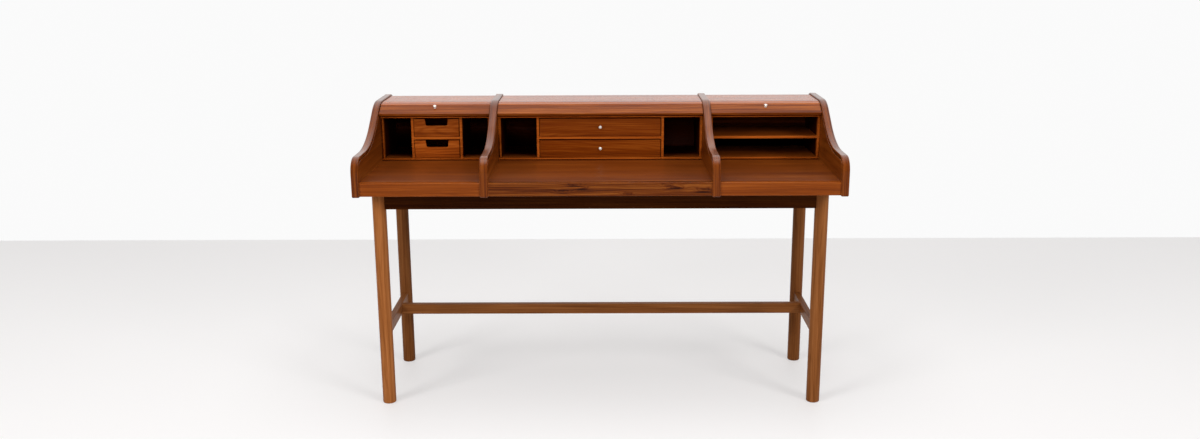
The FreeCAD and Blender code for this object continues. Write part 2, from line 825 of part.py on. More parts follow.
def rail_across(name, where, thickness, bottom, height, shoulder):
    """A rail between the left and right legs of the front or the rear pair, with its tenons."""
    y = f"leg_{where}"
    front = f"{y} - {thickness} / 2"
    rail = board(name + "_stock", "2 * leg_spread", thickness, height, "-leg_spread", front, bottom)
    tenons = []
    for side, x in (("left", f"-leg_spread + {TENON_GAP}"), ("right", f"leg_spread - {TENON_END}")):
        tenon = board(
            f"{name}_tenon_{side}",
            TENON_LENGTH,
            "tenon_thickness",
            f"{height} - 2 * {shoulder}",
            x,
            f"{y} - tenon_thickness / 2",
            f"{bottom} + {shoulder}",
        )
        tenons.append((tenon, f"leg_{where}_{side}"))
    return tenoned(name, rail, [LEGS[leg] for _, leg in tenons], tenons)


def rail_back(name, side, thickness, bottom, height, shoulder):
    """A rail from the front leg to the rear leg of one side, with its tenons."""
    x = "-leg_spread" if side == "left" else "leg_spread"
    low = f"{x} - {thickness} / 2"
    rail = board(name + "_stock", thickness, "leg_rear - leg_front", height, low, "leg_front", bottom)
    tenons = []
    for where, y in (("front", f"leg_front + {TENON_GAP}"), ("rear", f"leg_rear - {TENON_END}")):
        tenon = board(
            f"{name}_tenon_{where}",
            "tenon_thickness",
            TENON_LENGTH,
            f"{height} - 2 * {shoulder}",
            f"{x} - tenon_thickness / 2",
            y,
            f"{bottom} + {shoulder}",
        )
        tenons.append((tenon, f"leg_{where}_{side}"))
    return tenoned(name, rail, [LEGS[leg] for _, leg in tenons], tenons)


APRON_SIZES = ("apron_thickness", "apron_bottom", f"({BOARD_BOTTOM} - apron_bottom)", "apron_shoulder")
STRETCHER_SIZES = ("stretcher_thickness", "stretcher_bottom", "stretcher_height", "stretcher_shoulder")
for where in ("front", "rear"):
    sub_part(f"apron_{where}", rail_across(f"apron_{where}", where, *APRON_SIZES))
side_aprons = [rail_back(f"apron_{side}", side, *APRON_SIZES) for side in ("left", "right")]
sub_part("side_aprons", group("side_aprons", side_aprons))

LONG_LENGTH = "2 * leg_spread - stretcher_thickness"
LONG_START = "-leg_spread + stretcher_thickness / 2"
LONG_TENON_Y = "long_stretcher_front + (stretcher_thickness - tenon_thickness) / 2"
LONG_TENON_HEIGHT = "stretcher_height - 2 * stretcher_shoulder"
long_bar = board(
    "stretcher_long_bar",
    LONG_LENGTH,
    "stretcher_thickness",
    "stretcher_height",
    LONG_START,
    "long_stretcher_front",
    "stretcher_bottom",
)
long_tenons = board(
    "stretcher_long_tenons",
    f"{LONG_LENGTH} + 2 * long_tenon_length",
    "tenon_thickness",
    LONG_TENON_HEIGHT,
    f"{LONG_START} - long_tenon_length",
    LONG_TENON_Y,
    "stretcher_bottom + stretcher_shoulder",
)
long_stretcher = doc.addObject("Part::Fuse", "stretcher_long")
long_stretcher.Base, long_stretcher.Tool = long_bar, long_tenons
sub_part("stretcher_long", long_stretcher)
for side in ("left", "right"):
    name = f"stretcher_{side}"
    sub_part(name, cut(name, rail_back(name + "_rail", side, *STRETCHER_SIZES), [long_tenons]))

for leg, stock in LEGS.items():
    bored = cut(leg + "_bored", stock, MORTISES[leg])
    doc.recompute()
    foot_rim = [
        number
        for number, edge in enumerate(bored.Shape.Edges, start=1)
        if edge.BoundBox.ZMax < 1e-3 and edge.BoundBox.XLength > 1
    ]
    eased = doc.addObject("Part::Chamfer", leg)
    eased.Base = bored
    eased.Edges = [(number, size("leg_ease"), size("leg_ease")) for number in foot_rim]
    sub_part(leg, eased)


# ---------------------------------------------------------------- cleats and screws
# Two cleats along the inside of the aprons hold the case down, with a screw up into each writing board.

CLEAT_BOTTOM = f"({BOARD_BOTTOM} - cleat)"
CLEAT_START = "-cleat_length / 2"
cleats = []
screws = []
bores = {bay: [] for bay in BAYS}
for where, y in (
    ("front", "leg_front + apron_thickness / 2"),
    ("rear", "leg_rear - apron_thickness / 2 - cleat"),
):
    middle_line = f"{y} + cleat / 2"
    stock = board(f"cleat_{where}_stock", "cleat_length", "cleat", "cleat", CLEAT_START, y, CLEAT_BOTTOM)
    for bay, (start, clear) in BAYS.items():
        name, x = f"screw_{where}_{bay}", f"{start} + {clear} / 2"
        shank = doc.addObject("Part::Cylinder", name + "_shank")
        bind(shank, Radius="screw_diameter / 2", Height="screw_length")
        place(shank, x, middle_line, CLEAT_BOTTOM)
        head = doc.addObject("Part::Cylinder", name + "_head")
        bind(head, Radius="screw_head / 2", Height="screw_head_height")
        place(head, x, middle_line, f"{CLEAT_BOTTOM} - screw_head_height")
        screw = doc.addObject("Part::Fuse", name)
        screw.Base, screw.Tool = shank, head
        screws.append(screw)
        bores[bay].append(shank)
    cleats.append(cut(f"cleat_{where}", stock, [bores[bay][-1] for bay in BAYS]))
sub_part("cleats", group("cleats", cleats))
sub_part("screws", group("screws", screws))
for bay, blank in blanks.items():
    sub_part(f"writing_board_{bay}", cut(f"writing_board_{bay}", blank, bores[bay]))


# ---------------------------------------------------------------- checks and files

doc.recompute()
for thing in doc.Objects:
    if {"Invalid", "Error"} & set(thing.State):
        raise RuntimeError(f"{thing.Name} did not build: {thing.State}")
os.makedirs("parts", exist_ok=True)
for name, thing in parts.items():
    shape = thing.Shape
    if shape.isNull() or not shape.isValid() or not shape.Solids:
        raise RuntimeError(f"{name} is not a valid solid")
    shape.exportStep(f"parts/{name}.step")
print(f"{len(parts)} sub-parts, {sum(len(thing.Shape.Solids) for thing in parts.values())} solids")
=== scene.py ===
import json
import math

import bmesh
import bpy
from mathutils import Matrix, Vector


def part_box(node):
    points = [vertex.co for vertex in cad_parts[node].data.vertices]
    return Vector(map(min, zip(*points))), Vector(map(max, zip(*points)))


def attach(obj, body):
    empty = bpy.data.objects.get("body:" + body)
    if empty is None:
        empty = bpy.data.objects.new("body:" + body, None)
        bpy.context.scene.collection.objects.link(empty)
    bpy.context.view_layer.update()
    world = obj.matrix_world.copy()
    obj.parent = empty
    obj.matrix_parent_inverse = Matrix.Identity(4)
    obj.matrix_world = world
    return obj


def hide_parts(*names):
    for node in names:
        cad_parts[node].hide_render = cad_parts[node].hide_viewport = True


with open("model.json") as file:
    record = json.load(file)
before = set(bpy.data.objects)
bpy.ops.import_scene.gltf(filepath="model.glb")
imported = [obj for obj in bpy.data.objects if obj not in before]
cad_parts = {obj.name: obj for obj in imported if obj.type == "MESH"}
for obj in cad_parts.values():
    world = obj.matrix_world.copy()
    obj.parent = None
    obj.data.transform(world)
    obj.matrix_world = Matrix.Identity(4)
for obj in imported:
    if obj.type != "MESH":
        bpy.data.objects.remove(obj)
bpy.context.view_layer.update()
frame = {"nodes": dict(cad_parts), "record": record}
nodes = frame["nodes"]
record = frame["record"]


# ---- End panels and dividers
# Four solid walnut panels, cut to the S of the desk's side, with every edge rounded by hand. Their grain runs
# from front to back. They are glued to the boards and rails between them.


class Wire:
    """A value on its way through a material. Expressions on it add the Math nodes that they need."""

    def __init__(self, tree, socket=None):
        self.tree = tree
        self.socket = socket

    def node(self, kind, sockets=None, output=0, stops=None, **settings):
        """Any other node: its settings first, then the values or links of its sockets."""
        made = self.tree.nodes.new(kind)
        for name, value in settings.items():
            setattr(made, name, value)
        if stops:
            ramp = made.color_ramp.elements
            while len(ramp) < len(stops):
                ramp.new(0.5)
            for element, (position, colour) in zip(ramp, stops):
                element.position = position
                element.color = (*colour, 1)
        for name, value in (sockets or {}).items():
            if isinstance(value, Wire):
                value.feed(made, name)
            else:
                made.inputs[name].default_value = value
        return Wire(self.tree, made.outputs[output])

    def beside(self, output):
        """Another value that comes from the same node."""
        return Wire(self.tree, self.socket.node.outputs[output])

    def feed(self, node, socket):
        """The value goes into one socket of a node."""
        self.tree.links.new(self.socket, node.inputs[socket])

    def math(self, operation, first, second=0.0):
        return self.node("ShaderNodeMath", {0: first, 1: second}, operation=operation)

    def __add__(self, other):
        return self.math("ADD", self, other)

    def __sub__(self, other):
        return self.math("SUBTRACT", self, other)

    def __rsub__(self, other):
        return self.math("SUBTRACT", other, self)

    def __mul__(self, other):
        return self.math("MULTIPLY", self, other)

    def __truediv__(self, other):
        return self.math("DIVIDE", self, other)

    __radd__ = __add__
    __rmul__ = __mul__

    def fade(self, low, high):
        """0 below low, 1 above high and smooth between them."""
        sockets = {"Value": self, "From Min": low, "From Max": high}
        return self.node("ShaderNodeMapRange", sockets, interpolation_type="SMOOTHSTEP")

    def noise(self, along, across, up, detail, roughness=0.5):
        """Smooth noise about 0.5 at a point given by three values."""
        point = self.node("ShaderNodeCombineXYZ", {"X": along, "Y": across, "Z": up})
        sockets = {"Vector": point, "Scale": 1.0, "Detail": detail, "Roughness": roughness}
        return self.node("ShaderNodeTexNoise", sockets)


# the colours of the wood from its darkest figure to its palest
RED_WALNUT = [
    (0.00, (0.026, 0.0040, 0.0004)),
    (0.30, (0.098, 0.0170, 0.0016)),
    (0.60, (0.200, 0.0420, 0.0040)),
    (1.00, (0.360, 0.1000, 0.0140)),
]
MIDDLE_SHADE = 0.58
# each noise in the wood: how often it changes in a metre along the grain and across it, and its fine detail
DRIFT = (1.6, 12.0, 3.0)
SWAY = (7.0, 45.0, 2.0)
BROAD = (1.1, 26.0, 2.0)
STREAK = (3.4, 150.0, 2.0)
FIBRE = (12.0, 520.0, 3.0, 0.6)
PORE = (60.0, 1700.0, 1.0)
# how far the first two bend the rings, counted in rings
DRIFT_BEND = 7.0
SWAY_BEND = 1.4
# how strongly the others and the late wood show in the figure
BROAD_SHOWS = 1.1
STREAK_SHOWS = 1.3
FIBRE_SHOWS = 0.7
LATE_SHOWS = 0.20
PORE_SHOWS = 0.06
FIBRE_TALL = 0.00002
PORE_DEEP = 0.00004
# how far apart in the tree two seeds lie
SEED_ALONG = 0.917
SEED_UP = 0.377
COAT_ROUGHNESS = 0.24


class Timber:
    """The walnut of one piece: first its grain, then its stain and its shadows, and last its lacquer."""

    def __init__(self, name, grain, gap=0.006):
        """The grain runs along one axis, and the rings are a gap apart across it."""
        self.material = bpy.data.materials.new(name)
        self.material.use_nodes = True
        self.shader = self.material.node_tree.nodes["Principled BSDF"]
        self.start = Wire(self.material.node_tree)
        place = self.start.node("ShaderNodeTexCoord", output="Object")
        x = self.start.node("ShaderNodeSeparateXYZ", {"Vector": place})
        self.axes = {"x": x, "y": x.beside("Y"), "z": x.beside("Z")}
        order = {"x": "xyz", "y": "yxz", "z": "zxy"}[grain]
        self.along, self.across, self.up = (self.axes[axis] for axis in order)
        self.gap = gap
        self.ring = self.across * (0.5 / gap) + self.up * (1 / gap)
        normal = self.start.node("ShaderNodeNewGeometry", output="Normal")
        self.facing_x = self.start.node("ShaderNodeSeparateXYZ", {"Vector": normal})
        self.facing_y = self.facing_x.beside("Y")
        self.facing_z = self.facing_x.beside("Z")

    def noise(self, along, across, detail, roughness=0.5):
        return self.start.noise(self.along * along, self.across * across, self.up * across, detail, roughness)

    def grow(self, seed, swirl=None):
        """Every seed is another place in the tree. A swirl bends the rings."""
        self.along = self.along + seed * SEED_ALONG
        self.up = self.up + seed * SEED_UP
        ring = self.ring + self.noise(*DRIFT) * DRIFT_BEND + self.noise(*SWAY) * SWAY_BEND
        if swirl is not None:
            ring = ring + swirl
        late = self.start.math("PINGPONG", ring, 0.5).fade(0.18, 0.5)
        broad = self.noise(*BROAD)
        streak = self.noise(*STREAK)
        self.fibre = self.noise(*FIBRE)
        self.pore = self.noise(*PORE).fade(0.60, 0.72)
        large = (broad - 0.5) * BROAD_SHOWS + (streak - 0.5) * STREAK_SHOWS
        self.figure = large + (self.fibre - 0.5) * FIBRE_SHOWS - (late - 0.4) * LATE_SHOWS

    def stain(self, tone, contrast=1.0, colours=RED_WALNUT, tint=(1, 1, 1), streaks=None):
        """The tone is that of the whole piece, and the contrast that of its figure. Streaks are dark."""
        shade = MIDDLE_SHADE + self.figure * contrast - self.pore * PORE_SHOWS
        if streaks is not None:
            shade = shade - streaks
        self.colour = self.start.node("ShaderNodeValToRGB", {"Fac": shade}, stops=colours)
        self.shade(1.0, tone, tint)

    def shade(self, amount, tone, tint=(1, 1, 1)):
        """The wood's colour is multiplied by a tone of a tint, as far as the amount says."""
        sockets = {"Factor": amount, 6: self.colour, 7: (*(tone * part for part in tint), 1)}
        self.colour = self.start.node("ShaderNodeMix", sockets, 2, data_type="RGBA", blend_type="MULTIPLY")

    def lacquer(self, polish=0.2, sheen=0.2, relief=0.08, rubbed=None):
        """The polish is the roughness, and rubbed is the weight of a coat on the faces that look up."""
        rough = polish + self.fibre * 0.05 + self.pore * 0.04
        height = self.fibre * FIBRE_TALL - self.pore * PORE_DEEP
        bump = self.start.node("ShaderNodeBump", {"Height": height, "Strength": relief, "Distance": 1.0})
        self.colour.feed(self.shader, "Base Color")
        rough.feed(self.shader, "Roughness")
        bump.feed(self.shader, "Normal")
        self.shader.inputs["Specular IOR Level"].default_value = sheen
        if rubbed is not None:
            coat = self.facing_z.fade(0.55, 0.97) * rubbed
            coat.feed(self.shader, "Coat Weight")
            self.shader.inputs["Coat Roughness"].default_value = COAT_ROUGHNESS
        return self.material


# on the edge of a panel, the height counts for so little in the grain
EDGE_RISE = 0.02


def follow_the_edge(timber):
    """On the edge of a panel the grain follows the S, and only the flat sides show it rise."""
    on_side = timber.start.math("ABSOLUTE", timber.facing_x).fade(0.3, 0.7)
    timber.up = timber.up * (on_side + EDGE_RISE * (1 - on_side))
    timber.ring = timber.across * (1 / timber.gap) + timber.up * (1 / timber.gap)


# edges that turn more than the first angle are eased, and facets that turn less than the second become one
SHARP = math.radians(28)
FLAT = math.radians(0.3)
SAME_POINT = 0.000002


def ease_edges(thing, ease):
    """The sharp edges of a piece are rounded a little, and its flat faces stay flat."""
    soft = thing.modifiers.new("eased_edges", "BEVEL")
    soft.width = ease
    soft.segments = 3
    soft.limit_method = "ANGLE"
    soft.angle_limit = SHARP
    soft.use_clamp_overlap = True
    even = thing.modifiers.new("even_shading", "WEIGHTED_NORMAL")
    even.weight = 60


def finish_node(name, material, ease=0.0005):
    """A node of the frame whose shape is right gets its finish, and its sharp edges are eased."""
    thing = nodes[name]
    thing.data.materials.clear()
    thing.data.materials.append(material)
    for polygon in thing.data.polygons:
        polygon.use_smooth = True
    if "custom_normal" in thing.data.attributes:
        thing.data.attributes.remove(thing.data.attributes["custom_normal"])
    weld = thing.modifiers.new("joined_faces", "WELD")
    weld.merge_threshold = SAME_POINT
    flat = thing.modifiers.new("whole_faces", "DECIMATE")
    flat.decimate_type = "DISSOLVE"
    flat.angle_limit = FLAT
    ease_edges(thing, ease)


PANEL_EASE = 0.0011
for seed, name in enumerate(("end_panel_left", "divider_left", "divider_right", "end_panel_right")):
    timber = Timber(name + "_walnut", "y")
    follow_the_edge(timber)
    timber.grow(seed)
    timber.stain(0.80, contrast=0.8)
    finish_node(name, timber.lacquer(polish=0.26, sheen=0.12, rubbed=0.7), PANEL_EASE)


# ---- Writing boards, front rails and backs
# Each bay has one veneered board with straight grain. A deep solid rail is glued along its front, and the
# middle one is cut from a figured plank with small dark knots. Thin backs close the bays behind.


def walnut(name, grain, seed, tone, contrast=1.0, colours=RED_WALNUT, **finish):
    """The material of a piece with nothing special in its grain."""
    timber = Timber(name, grain)
    timber.grow(seed)
    timber.stain(tone, contrast, colours)
    return timber.lacquer(**finish)


# a knot is so flat against its length, and a whole length from its middle so much of it is left
KNOT_FLATNESS = 0.3
KNOT_FADE = 0.37
# how many rings a knot bends, and how dark its streaks are
KNOT_SWIRL = 3.0
KNOT_DARK = 0.75


def knots_of(timber, places):
    """1 in the middle of each (along, up, length) place and 0 far from all of them."""
    near = None
    for along, up, length in places:
        aside = (timber.along - along) / length
        above = (timber.up - up) / (length * KNOT_FLATNESS)
        knot = timber.start.math("POWER", KNOT_FADE, aside * aside + above * above)
        near = knot if near is None else timber.start.math("MAXIMUM", near, knot)
    return near


def turned_away(timber):
    """0 on the faces to the front and 1 on all others."""
    return timber.facing_y.fade(-0.8, -0.3)


BAYS = ("left", "centre", "right")
for seed, bay in enumerate(BAYS, start=10):
    material = walnut(f"writing_board_{bay}_walnut", "x", seed, tone=0.84, contrast=0.55, polish=0.32)
    finish_node(f"writing_board_{bay}", material)

# each dark place: how far to the right of the desk's middle, how high up the rail, and how long
RAIL_KNOTS = [
    (-0.074, 0.80, 0.024),
    (-0.055, 0.62, 0.018),
    (-0.108, 0.34, 0.022),
    (0.081, 0.12, 0.020),
    (0.222, 0.55, 0.028),
    (0.200, 0.78, 0.018),
    (0.306, 0.42, 0.026),
]
# beyond this distance from the desk's middle the rails are the calmer and paler ones of the side bays
CENTRE_RAIL_HALF = 0.33
RAIL_CHANGE = 0.002
SIDE_RAIL_CONTRAST = 0.45
SIDE_RAIL_TONE = 1.72
# the slanting dark streaks in the knots: how often they change in a metre
STREAKS_ALONG = 16.0
STREAKS_SLANT = 60.0
STREAKS_ACROSS = 90.0
STREAKS_UP = 190.0
RAIL_EASE = 0.0004
low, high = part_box("front_rails")
timber = Timber("front_rails_walnut", "x")
knots = knots_of(timber, [(x, low.z + part * (high.z - low.z), length) for x, part, length in RAIL_KNOTS])
timber.grow(14, swirl=knots * KNOT_SWIRL)
from_middle = timber.start.math("ABSOLUTE", timber.axes["x"])
beyond = from_middle.fade(CENTRE_RAIL_HALF - RAIL_CHANGE, CENTRE_RAIL_HALF + RAIL_CHANGE)
timber.figure = timber.figure * (1 - beyond * (1 - SIDE_RAIL_CONTRAST))
slanting = timber.along * STREAKS_ALONG + timber.up * STREAKS_SLANT
streaks = timber.start.noise(slanting, timber.across * STREAKS_ACROSS, timber.up * STREAKS_UP, 3.0)
timber.stain(0.66, streaks=knots * streaks.fade(0.42, 0.60) * KNOT_DARK)
timber.shade(beyond, SIDE_RAIL_TONE)
finish_node("front_rails", timber.lacquer(sheen=0.09), RAIL_EASE)

# painted shade: the backs are dark on their faces to the front, where the pigeonholes show them, and as light
# as the rest from behind
PAINTED_SHADE_INSIDE = 0.07
timber = Timber("back_walnut", "x")
timber.grow(15)
timber.stain(PAINTED_SHADE_INSIDE)
timber.shade(turned_away(timber), 1 / PAINTED_SHADE_INSIDE)
finish_node("back_panel", timber.lacquer(polish=0.45, sheen=0.05))


# ---- Tambour beds
# Under the flat of each curtain, a board on two rails carries the slats. Its rear end shows only while the
# curtain is shut.

finish_node("tambour_beds", walnut("bed_walnut", "x", 18, tone=0.6))


# ---- Pigeonhole cases
# Light cases of thin walnut boards, glued up on the bench and slid in between the panels. Their front edges
# carry painted light, and their other faces and their insides carry painted shade.

WARM_DARK = (1, 0.6, 0.4)
SHADOW = 0.10
LINE_SOFT = 0.0006
# every shadow line starts this far outside the piece that it is on
LINE_BEYOND = 0.002


def shadow_line(timber, axis, low, high, where=None):
    """The thin shadow in the gap where a piece meets its neighbour."""
    place = timber.axes[axis]
    begun = place.fade(low - LINE_SOFT, low + LINE_SOFT)
    over = place.fade(high - LINE_SOFT, high + LINE_SOFT)
    within = begun * (1 - over)
    if where is not None:
        within = within * where
    timber.shade(within, SHADOW, WARM_DARK)


def paint_shade_inwards(timber, front, reach, dark):
    """Painted shade: the wood gets darker behind its front, as far in as the reach."""
    inward = (timber.axes["y"] - front) / reach
    timber.shade(inward.fade(0.05, 1.0), dark, WARM_DARK)


BOARD_THICK = 0.008
# painted light: how much lighter the front edges are painted than all other faces, and the share of that
# below the top board, whose edge is painted lightest
PAINTED_LIGHT_ON_EDGES = 3.6
LOWER_EDGE_LIGHT_SHARE = 0.42
EDGE_SOFT = 0.0005
CASE_FOOT_LINE = 0.003
CASE_TOP_LINE = 0.001
CASE_PAINTED_SHADE = 0.10
CASE_EASE = 0.0003
# how far in the light falls on the upright boards, and on the floors and shelves of each case
LIT_SIDES = 0.025
LIT_FLOORS = {"left": 0.085, "centre": 0.085, "right": 0.34}
for seed, (bay, lit_floors) in enumerate(LIT_FLOORS.items(), start=20):
    low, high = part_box(f"pigeonhole_case_{bay}")
    top_board = high.z - BOARD_THICK
    timber = Timber(f"case_{bay}_walnut", "x")
    timber.grow(seed)
    timber.stain(4.2, contrast=0.4)
    # painted light and shade: the faces to the front keep the high tone, all other faces are darkened, and
    # front edges below the top board are less light
    away = turned_away(timber)
    timber.shade(away, 1 / PAINTED_LIGHT_ON_EDGES)
    below_top = 1 - timber.axes["z"].fade(top_board - EDGE_SOFT, top_board + EDGE_SOFT)
    timber.shade(below_top * (1 - away), LOWER_EDGE_LIGHT_SHARE)
    shadow_line(timber, "z", low.z - LINE_BEYOND, low.z + CASE_FOOT_LINE, 1 - away)
    shadow_line(timber, "z", high.z - CASE_TOP_LINE, high.z + LINE_BEYOND, 1 - away)
    # painted shade inside the case, darker further behind its front; over floors and shelves it fades in over
    # a longer reach
    level = timber.facing_z.fade(0.6, 0.9)
    paint_shade_inwards(timber, low.y, LIT_SIDES + level * (lit_floors - LIT_SIDES), CASE_PAINTED_SHADE)
    finish_node(f"pigeonhole_case_{bay}", timber.lacquer(polish=0.4, sheen=0.04), CASE_EASE)


# ---- Drawers
# Small walnut drawers with solid fronts, glued to thin sides, backs and floors. The left pair has a finger
# scoop cut in each front, and the middle pair has knobs.


def body_of(node):
    return next(body for body, members in record["behaviour"]["bodies"].items() if node in members)


def slot_of(node):
    return next(row["material_slot"] for row in record["subparts"] if row["node"] == node)


def mesh_from(made, name):
    """The mesh of what was made, with all its faces turned outwards."""
    bmesh.ops.recalc_face_normals(made, faces=made.faces)
    mesh = bpy.data.meshes.new(name)
    made.to_mesh(mesh)
    made.free()
    return mesh


def stand_for(node, how, mesh, material):
    """A new piece that takes the place of one node, on the same body."""
    mesh.materials.append(material)
    mesh.polygons.foreach_set("use_smooth", [True] * len(mesh.polygons))
    piece = bpy.data.objects.new(f"{node}_{how}", mesh)
    bpy.context.scene.collection.objects.link(piece)
    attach(piece, body_of(node))
    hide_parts(node)
    slot_of(node)
    return piece


def bend(centre, radius, first, last, steps):
    """Points on a round stretch of a profile, with the angles in degrees."""
    angles = [math.radians(first + (last - first) * step / steps) for step in range(steps + 1)]
    return [(centre[0] + radius * math.cos(a), centre[1] + radius * math.sin(a)) for a in angles]


def prism(made, outline, near, far):
    """A board cut to an outline of (x, z) points, from near to far."""
    front = [made.verts.new((x, near, z)) for x, z in outline]
    rear = [made.verts.new((x, far, z)) for x, z in outline]
    made.faces.new(front)
    made.faces.new(rear)
    for step in range(len(outline)):
        made.faces.new((front[step], front[step - 1], rear[step - 1], rear[step]))


def rectangle(low_x, high_x, low_z, high_z):
    return [(low_x, low_z), (high_x, low_z), (high_x, high_z), (low_x, high_z)]


FRONT_THICK = 0.012
SIDE_THICK = 0.007
SIDE_INSET = 0.001
SIDE_DROP = 0.005
BACK_DROP = 0.006
FLOOR_LIFTED = 0.003
FLOOR_THICK = 0.004
# half the scoop's width at its mouth and at its foot, its depth and the radius of its corners
SCOOP_MOUTH = 0.038
SCOOP_FOOT = 0.0345
SCOOP_DEEP = 0.0232
SCOOP_CORNER = 0.005


def scooped_drawer(name, low, high):
    """A whole drawer within its box: the front with its finger scoop, two sides, a back and a floor."""
    made = bmesh.new()
    middle = (low.x + high.x) / 2
    lean = math.atan2(SCOOP_MOUTH - SCOOP_FOOT, SCOOP_DEEP)
    turn = math.degrees(lean)
    beside = SCOOP_FOOT - SCOOP_CORNER * math.tan(math.pi / 4 - lean / 2)
    level = high.z - SCOOP_DEEP + SCOOP_CORNER
    front = [(low.x, low.z), (high.x, low.z), (high.x, high.z), (middle + SCOOP_MOUTH, high.z)]
    front += bend((middle + beside, level), SCOOP_CORNER, -turn, -90, 8)
    front += bend((middle - beside, level), SCOOP_CORNER, -90, -180 + turn, 8)
    front += [(middle - SCOOP_MOUTH, high.z), (low.x, high.z)]
    box_front = low.y + FRONT_THICK
    side_top = high.z - SIDE_DROP
    inner = (low.x + SIDE_INSET + SIDE_THICK, high.x - SIDE_INSET - SIDE_THICK)
    floor_top = low.z + FLOOR_LIFTED + FLOOR_THICK
    prism(made, front, low.y, box_front)
    prism(made, rectangle(low.x + SIDE_INSET, inner[0], low.z, side_top), box_front, high.y)
    prism(made, rectangle(inner[1], high.x - SIDE_INSET, low.z, side_top), box_front, high.y)
    prism(made, rectangle(*inner, floor_top, side_top - BACK_DROP), high.y - SIDE_THICK, high.y)
    prism(made, rectangle(*inner, low.z + FLOOR_LIFTED, floor_top), box_front, high.y)
    return mesh_from(made, name)


OVAL_GAP = 0.007
OVAL_STRETCH = 9.0


def flat_sawn(timber, eye_along, eye_up):
    """A flat-sawn board shows long ovals about one middle."""
    aside = (timber.along - eye_along) / OVAL_STRETCH
    above = timber.up - eye_up
    timber.ring = timber.start.math("SQRT", aside * aside + above * above) / timber.gap


# how wide the shadow line is on each side of a front
TOP_LINE = 0.0013
FOOT_LINE = 0.0008
RIGHT_LINE = 0.0014
LEFT_LINE = 0.0007
# painted shade: how far behind its face a front turns dark, how soon, and how dark
FRONT_LIT = 0.0008
FRONT_FADE = 0.003
DRAWER_PAINTED_SHADE = 0.25
SCOOPED_EASE = 0.0007
KNOBBED_EASE = 0.0006
LEFT_TINT = (1, 0.95, 0.95)
CENTRE_TINT = (1, 0.86, 0.6)
# for each drawer: where the middle of its ovals lies, along the desk and as a part of the front's height, its
# tone and its tint
FIGURED_FRONTS = {
    "left_upper": (0.30, 0.2, 1.15, LEFT_TINT),
    "left_lower": (-0.75, 1.1, 1.50, LEFT_TINT),
    "centre_upper": (0.03, -0.1, 0.85, CENTRE_TINT),
    "centre_lower": (0.40, 1.6, 0.82, CENTRE_TINT),
}
for seed, (name, (eye_along, eye_part, tone, tint)) in enumerate(FIGURED_FRONTS.items(), start=30):
    low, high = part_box(f"drawer_{name}")
    timber = Timber(f"drawer_{name}_walnut", "x", OVAL_GAP)
    flat_sawn(timber, eye_along, low.z + eye_part * (high.z - low.z))
    timber.grow(seed)
    timber.stain(tone, contrast=0.6, tint=tint)
    on_front = 1 - turned_away(timber)
    shadow_line(timber, "z", high.z - TOP_LINE, high.z + LINE_BEYOND, on_front)
    shadow_line(timber, "z", low.z - LINE_BEYOND, low.z + FOOT_LINE, on_front)
    shadow_line(timber, "x", high.x - RIGHT_LINE, high.x + LINE_BEYOND, on_front)
    shadow_line(timber, "x", low.x - LINE_BEYOND, low.x + LEFT_LINE, on_front)
    # painted shade over the drawer's sides, back and floor behind its front
    paint_shade_inwards(timber, low.y + FRONT_LIT, FRONT_FADE, DRAWER_PAINTED_SHADE)
    material = timber.lacquer(sheen=0.03)
    if name.startswith("left"):
        mesh = scooped_drawer(f"drawer_{name}_boards", low, high)
        ease_edges(stand_for(f"drawer_{name}", "scooped", mesh, material), SCOOPED_EASE)
    else:
        finish_node(f"drawer_{name}", material, KNOBBED_EASE)


# ---- Knobs
# Four small knobs of pale brass, turned and polished, each with a foot disc, a slim neck and a domed head.
# They are held by screws from behind.


def turned(name, profile, around, place):
    """A mesh turned about its own Z from a profile of (radius, height), and put in place."""
    made = bmesh.new()
    rings = []
    for radius, height in profile:
        if radius == 0:
            rings.append([made.verts.new(place @ Vector((0, 0, height)))])
            continue
        angles = [math.tau * step / around for step in range(around)]
        points = [Vector((radius * math.cos(a), radius * math.sin(a), height)) for a in angles]
        rings.append([made.verts.new(place @ point) for point in points])
    for low, high in zip(rings, rings[1:]):
        for step in range(around):
            after = (step + 1) % around
            if len(low) == 1:
                corners = (low[0], high[after], high[step])
            elif len(high) == 1:
                corners = (low[step], low[after], high[0])
            else:
                corners = (low[step], low[after], high[after], high[step])
            made.faces.new(corners)
    return mesh_from(made, name)


def foot_plane(node):
    """The middle of a knob's foot and the direction in which the knob stands out from it."""
    areas = {}
    for polygon in nodes[node].data.polygons:
        key = tuple(round(value, 2) for value in polygon.normal)
        areas.setdefault(key, []).append(polygon)
    widest = max(areas.values(), key=lambda group: sum(polygon.area for polygon in group))
    total = sum(polygon.area for polygon in widest)
    middle = sum((polygon.center * polygon.area for polygon in widest), Vector()) / total
    out = -sum((polygon.normal * polygon.area for polygon in widest), Vector()).normalized()
    return middle, out


# how rough the polished metal is, what its scratches add to that, and how many of them lie in a metre
METAL_POLISH = 0.16
SCRATCHED = 0.12
SCRATCHES = 900.0


def polished_metal(name, colour, metallic):
    """Metal with fine scratches."""
    material = bpy.data.materials.new(name)
    material.use_nodes = True
    shader = material.node_tree.nodes["Principled BSDF"]
    start = Wire(material.node_tree)
    place = start.node("ShaderNodeTexCoord", output="Object")
    scratch = start.node("ShaderNodeTexNoise", {"Vector": place, "Scale": SCRATCHES, "Detail": 3.0})
    rough = METAL_POLISH + scratch * SCRATCHED
    rough.feed(shader, "Roughness")
    shader.inputs["Base Color"].default_value = (*colour, 1)
    shader.inputs["Metallic"].default_value = metallic
    return material


KNOB_TALL = 0.015
HEAD_RADIUS = 0.0075
FOOT_RADIUS = 0.005
NECK_RADIUS = 0.0029
FOOT_EDGE = 0.0003
